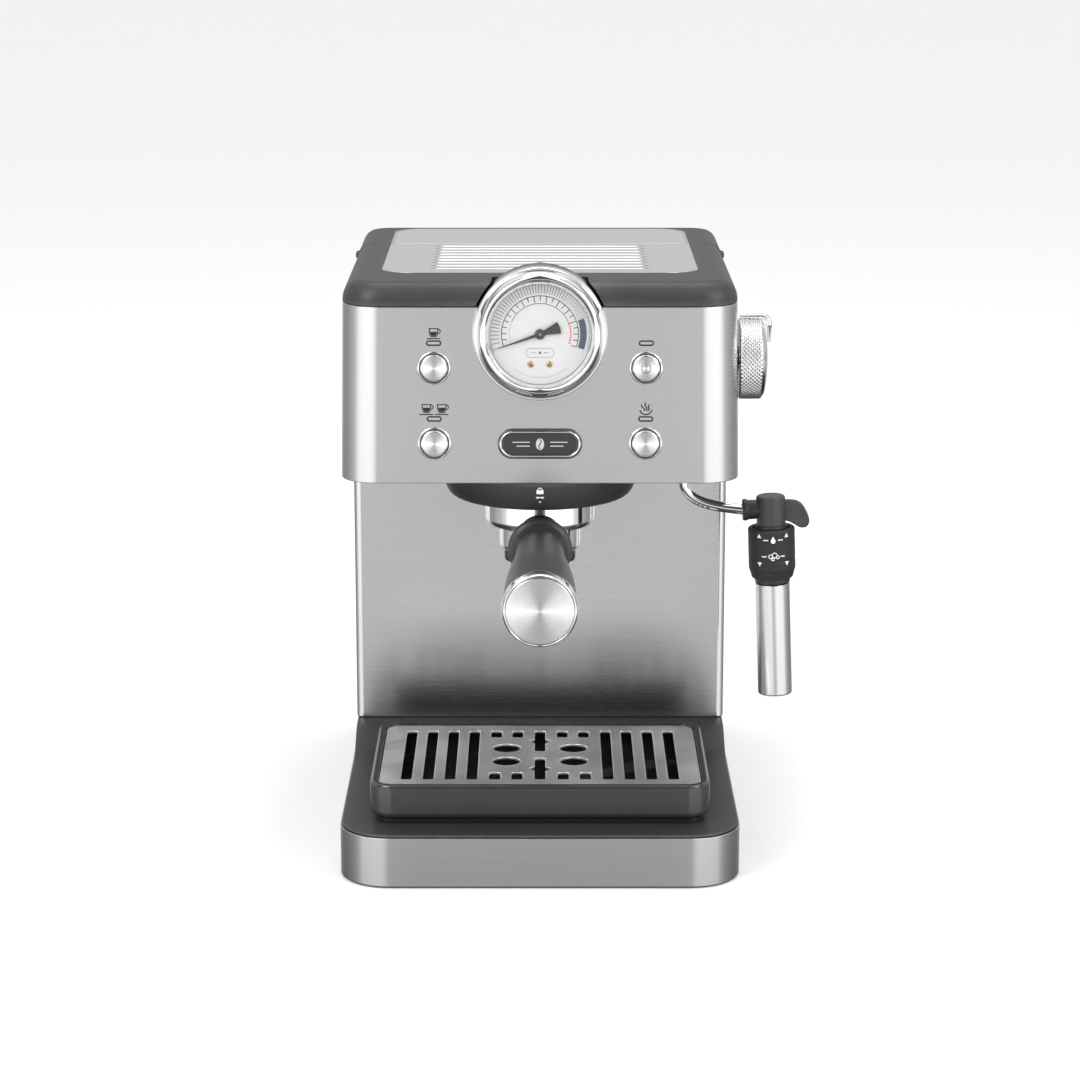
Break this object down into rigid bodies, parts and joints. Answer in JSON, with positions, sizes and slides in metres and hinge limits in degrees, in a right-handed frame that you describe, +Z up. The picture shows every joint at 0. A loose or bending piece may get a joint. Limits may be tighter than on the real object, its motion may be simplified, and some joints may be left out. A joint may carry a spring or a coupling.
{
  "type": "espresso machine",
  "caption": "Pump espresso machine: steel body, brew group with bayonet portafilter, pressure gauge, steam wand, lift-out water tank and drip tray.",
  "frame": {"origin": "on the floor, under the middle of the base", "axes": "+Z up, -Y towards the person using it, +X to that person's right, the side of the steam knob and wand"},
  "size_m": [0.2447, 0.3368, 0.3071],
  "materials": {
    "brushed_steel": "brushed stainless sheet",
    "chrome": "polished chrome plate",
    "steel_tube": "satin steel tube",
    "dark_plastic": "dark grey satin moulding",
    "black_plastic": "black moulding",
    "gloss_black": "gloss black moulding",
    "grip": "soft satin grip",
    "rubber": "moulded rubber",
    "dial": "printed white dial",
    "lens": "clear lens",
    "lamp": "pale lamp lens",
    "cast": "cast aluminium",
    "brass": "turned brass",
    "board": "circuit board",
    "tank": "smoked clear plastic",
    "hose": "silicone hose"
  },
  "bodies": {
    "root": {"base_pan": "black_plastic", "base_band": "brushed_steel", "base_deck": "dark_plastic", "foot_front_left": "rubber", "foot_front_right": "rubber", "foot_rear_left": "rubber", "foot_rear_right": "rubber", "body_wrap": "brushed_steel", "rear_cover": "dark_plastic", "power_gland": "rubber", "head_shell": "brushed_steel", "head_underside": "black_plastic", "wand_bush": "black_plastic", "top_frame": "dark_plastic", "cup_warmer_plate": "brushed_steel", "tank_bay": "black_plastic", "gauge_case": "black_plastic", "gauge_dial": "dial", "gauge_bezel": "chrome", "gauge_glass": "lens", "single_cup_lamp": "lamp", "double_cup_lamp": "lamp", "power_lamp": "lamp", "steam_lamp": "lamp", "badge": "chrome", "control_board": "board", "group_collar": "dark_plastic", "lock_ring": "cast", "brew_head": "cast", "group_gasket": "rubber", "shower_screen": "steel_tube", "steam_valve": "brass", "thermoblock": "cast", "pump": "brass", "intake_hose": "hose", "pressure_hose": "hose", "steam_pipe": "brass"},
    "portafilter": {"portafilter_body": "chrome", "filter_basket": "steel_tube", "portafilter_spout": "black_plastic", "handle_grip": "grip", "handle_cap": "chrome"},
    "steam_knob_body": {"steam_knob": "chrome"},
    "wand": {"wand_tube": "chrome", "frother_body": "black_plastic", "frother_tube": "steel_tube", "steam_nozzle": "black_plastic"},
    "sleeve": {"selector_sleeve": "grip"},
    "tank": {"water_tank": "tank", "tank_valve": "rubber", "lid_hinge_pin": "chrome"},
    "lid": {"tank_lid": "dark_plastic", "tank_lid_plate": "brushed_steel"},
    "tray": {"drip_tray": "gloss_black"},
    "grid": {"drip_grid": "chrome"},
    "needle": {"gauge_needle": "black_plastic"},
    "single_cup_key": {"single_cup_button": "chrome"},
    "double_cup_key": {"double_cup_button": "chrome"},
    "power_key": {"power_button": "chrome"},
    "steam_key": {"steam_button": "chrome"}
  },
  "joints": [
    {"name": "portafilter_lock", "type": "hinge", "parent": "root", "child": "portafilter", "pos_m": [0, -0.028, 0.1556], "axis": [0, 0, 1], "range_deg": [-45, 0]},
    {"name": "steam_knob_turn", "type": "hinge", "parent": "root", "child": "steam_knob_body", "pos_m": [0.1025, -0.041, 0.253], "axis": [1, 0, 0], "range_deg": [0, 270]},
    {"name": "wand_swivel", "type": "hinge", "parent": "root", "child": "wand", "pos_m": [0.075, -0.041, 0.195], "axis": [0, 0, 1], "range_deg": [-60, 40]},
    {"name": "selector_slide", "type": "slide", "parent": "wand", "child": "sleeve", "axis": [-0.0384, 0, 0.9993], "range_m": [-0.005, 0]},
    {"name": "tank_lift", "type": "slide", "parent": "root", "child": "tank", "axis": [0, 0, 1], "range_m": [0, 0.195]},
    {"name": "lid_hinge", "type": "hinge", "parent": "tank", "child": "lid", "pos_m": [0, 0.1424, 0.2905], "axis": [-1, 0, 0], "range_deg": [0, 95]},
    {"name": "tray_slide", "type": "slide", "parent": "root", "child": "tray", "axis": [0, -1, 0], "range_m": [0, 0.13]},
    {"name": "grid_lift", "type": "slide", "parent": "tray", "child": "grid", "axis": [0, 0, 1], "range_m": [0, 0.03]},
    {"name": "needle_turn", "type": "hinge", "parent": "root", "child": "needle", "pos_m": [0, -0.08, 0.273], "axis": [0, 1, 0], "range_deg": [0, 218], "stiffness_Nm_per_rad": 0.0002, "springref_deg": -5.73},
    {"name": "single_cup_press", "type": "slide", "parent": "root", "child": "single_cup_key", "axis": [0, 1, 0], "range_m": [0, 0.0012], "stiffness_N_per_m": 250},
    {"name": "double_cup_press", "type": "slide", "parent": "root", "child": "double_cup_key", "axis": [0, 1, 0], "range_m": [0, 0.0012], "stiffness_N_per_m": 250},
    {"name": "power_press", "type": "slide", "parent": "root", "child": "power_key", "axis": [0, 1, 0], "range_m": [0, 0.0012], "stiffness_N_per_m": 250},
    {"name": "steam_press", "type": "slide", "parent": "root", "child": "steam_key", "axis": [0, 1, 0], "range_m": [0, 0.0012], "stiffness_N_per_m": 250}
  ]
}
